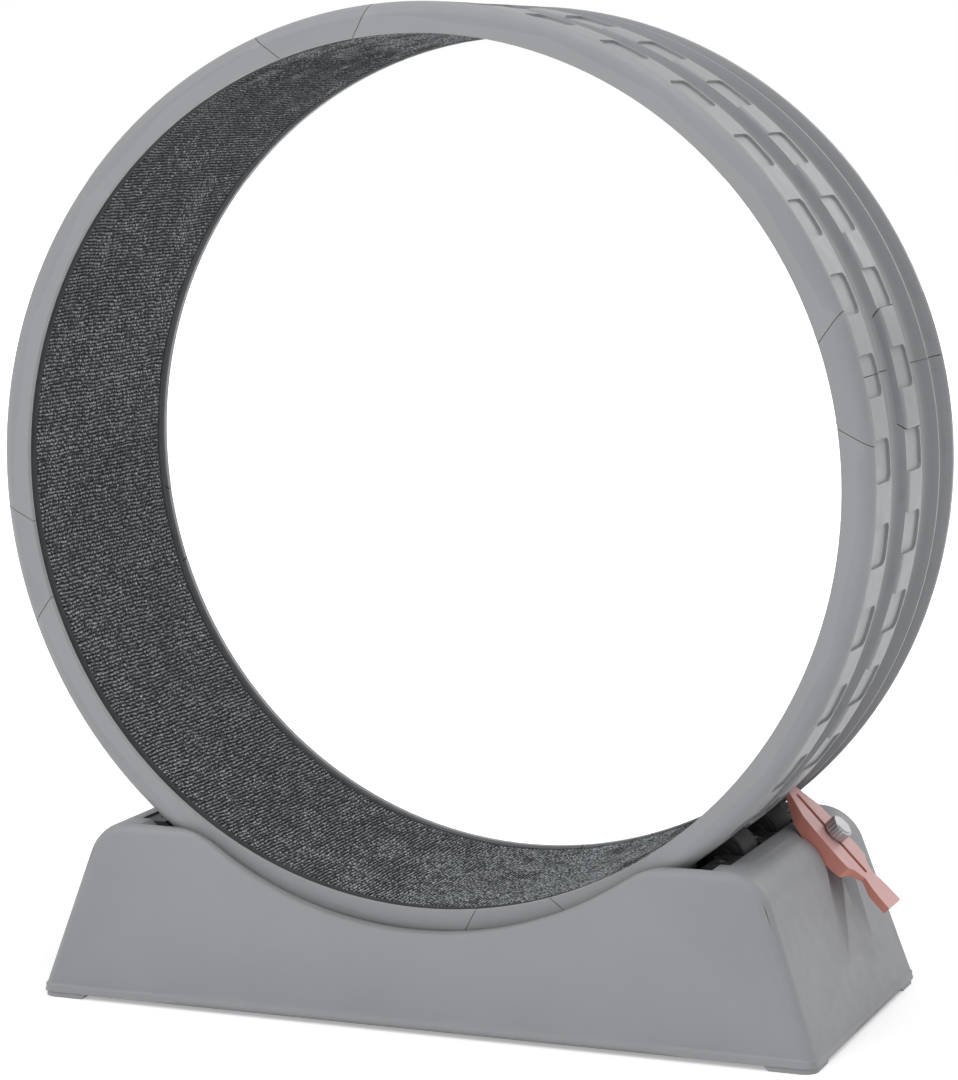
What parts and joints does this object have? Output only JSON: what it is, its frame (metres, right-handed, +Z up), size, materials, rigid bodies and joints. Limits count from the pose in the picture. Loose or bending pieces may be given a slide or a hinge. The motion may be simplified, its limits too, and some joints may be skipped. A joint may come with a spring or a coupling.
{
  "type": "cat exercise wheel",
  "caption": "Carpet-lined running wheel of joined tread quarters that turns on rollers in a moulded base, with a slotted wedge lever and knob that hold it still",
  "frame": {"origin": "on the floor under the wheel's centre", "axes": "+X along the base towards the lever, +Y along the axle away from the front face, +Z up"},
  "size_m": [0.9, 0.359, 0.986],
  "materials": {
    "grey_plastic": "fine moulded grain, satin",
    "black_plastic": "moulded, satin",
    "steel": "bright machined",
    "roller_rubber": "matt",
    "pink_plastic": "satin moulded",
    "knob_metal": "ribbed, bright",
    "carpet": "short woven loops with a dark bound edge"
  },
  "bodies": {
    "base": {"base_shell": "grey_plastic", "bracket_left": "black_plastic", "bracket_right": "black_plastic", "bracket_screws_left": "steel", "bracket_screws_right": "steel", "roller_pin_1": "steel", "roller_pin_2": "steel", "roller_pin_3": "steel", "roller_pin_4": "steel", "roller_spacers_1": "steel", "roller_spacers_2": "steel", "roller_spacers_3": "steel", "roller_spacers_4": "steel", "clamp_bolt": "steel", "clamp_washer": "steel"},
    "wheel": {"tread_segment_1": "grey_plastic", "tread_segment_2": "grey_plastic", "tread_segment_3": "grey_plastic", "tread_segment_4": "grey_plastic", "front_key_1": "grey_plastic", "front_key_2": "grey_plastic", "front_key_3": "grey_plastic", "front_key_4": "grey_plastic", "rib_key_1": "grey_plastic", "rib_key_2": "grey_plastic", "rib_key_3": "grey_plastic", "rib_key_4": "grey_plastic", "rear_key_1": "grey_plastic", "rear_key_2": "grey_plastic", "rear_key_3": "grey_plastic", "rear_key_4": "grey_plastic", "carpet": "carpet"},
    "roller_1": {"roller_hub_1": "black_plastic", "roller_tyre_1": "roller_rubber", "roller_bearings_1": "steel"},
    "roller_2": {"roller_hub_2": "black_plastic", "roller_tyre_2": "roller_rubber", "roller_bearings_2": "steel"},
    "roller_3": {"roller_hub_3": "black_plastic", "roller_tyre_3": "roller_rubber", "roller_bearings_3": "steel"},
    "roller_4": {"roller_hub_4": "black_plastic", "roller_tyre_4": "roller_rubber", "roller_bearings_4": "steel"},
    "lever": {"lock_lever": "pink_plastic"},
    "knob": {"clamp_knob": "knob_metal"}
  },
  "joints": [
    {"name": "wheel_spin", "type": "hinge", "parent": "base", "child": "wheel", "pos_m": [0, 0, 0.536], "axis": [0, 1, 0], "continuous": true},
    {"name": "roller_1_spin", "type": "hinge", "parent": "base", "child": "roller_1", "pos_m": [-0.28, -0.055, 0.17192], "axis": [0, 1, 0], "continuous": true},
    {"name": "roller_2_spin", "type": "hinge", "parent": "base", "child": "roller_2", "pos_m": [-0.28, 0.055, 0.17192], "axis": [0, 1, 0], "continuous": true},
    {"name": "roller_3_spin", "type": "hinge", "parent": "base", "child": "roller_3", "pos_m": [0.28, -0.055, 0.17192], "axis": [0, 1, 0], "continuous": true},
    {"name": "roller_4_spin", "type": "hinge", "parent": "base", "child": "roller_4", "pos_m": [0.28, 0.055, 0.17192], "axis": [0, 1, 0], "continuous": true},
    {"name": "lever_slide", "type": "slide", "parent": "base", "child": "lever", "axis": [0.6972, 0, -0.7169], "range_m": [0, 0.045]},
    {"name": "knob_turn", "type": "hinge", "parent": "base", "child": "knob", "pos_m": [0.35277, 0.055, 0.17324], "axis": [0.7169, 0, 0.6972], "range_deg": [0, 360]}
  ],
  "couplings": [
    {"joint": "roller_1_spin", "follows": "wheel_spin", "ratio": -17.36},
    {"joint": "roller_2_spin", "follows": "wheel_spin", "ratio": -17.36},
    {"joint": "roller_3_spin", "follows": "wheel_spin", "ratio": -17.36},
    {"joint": "roller_4_spin", "follows": "wheel_spin", "ratio": -17.36}
  ]
}
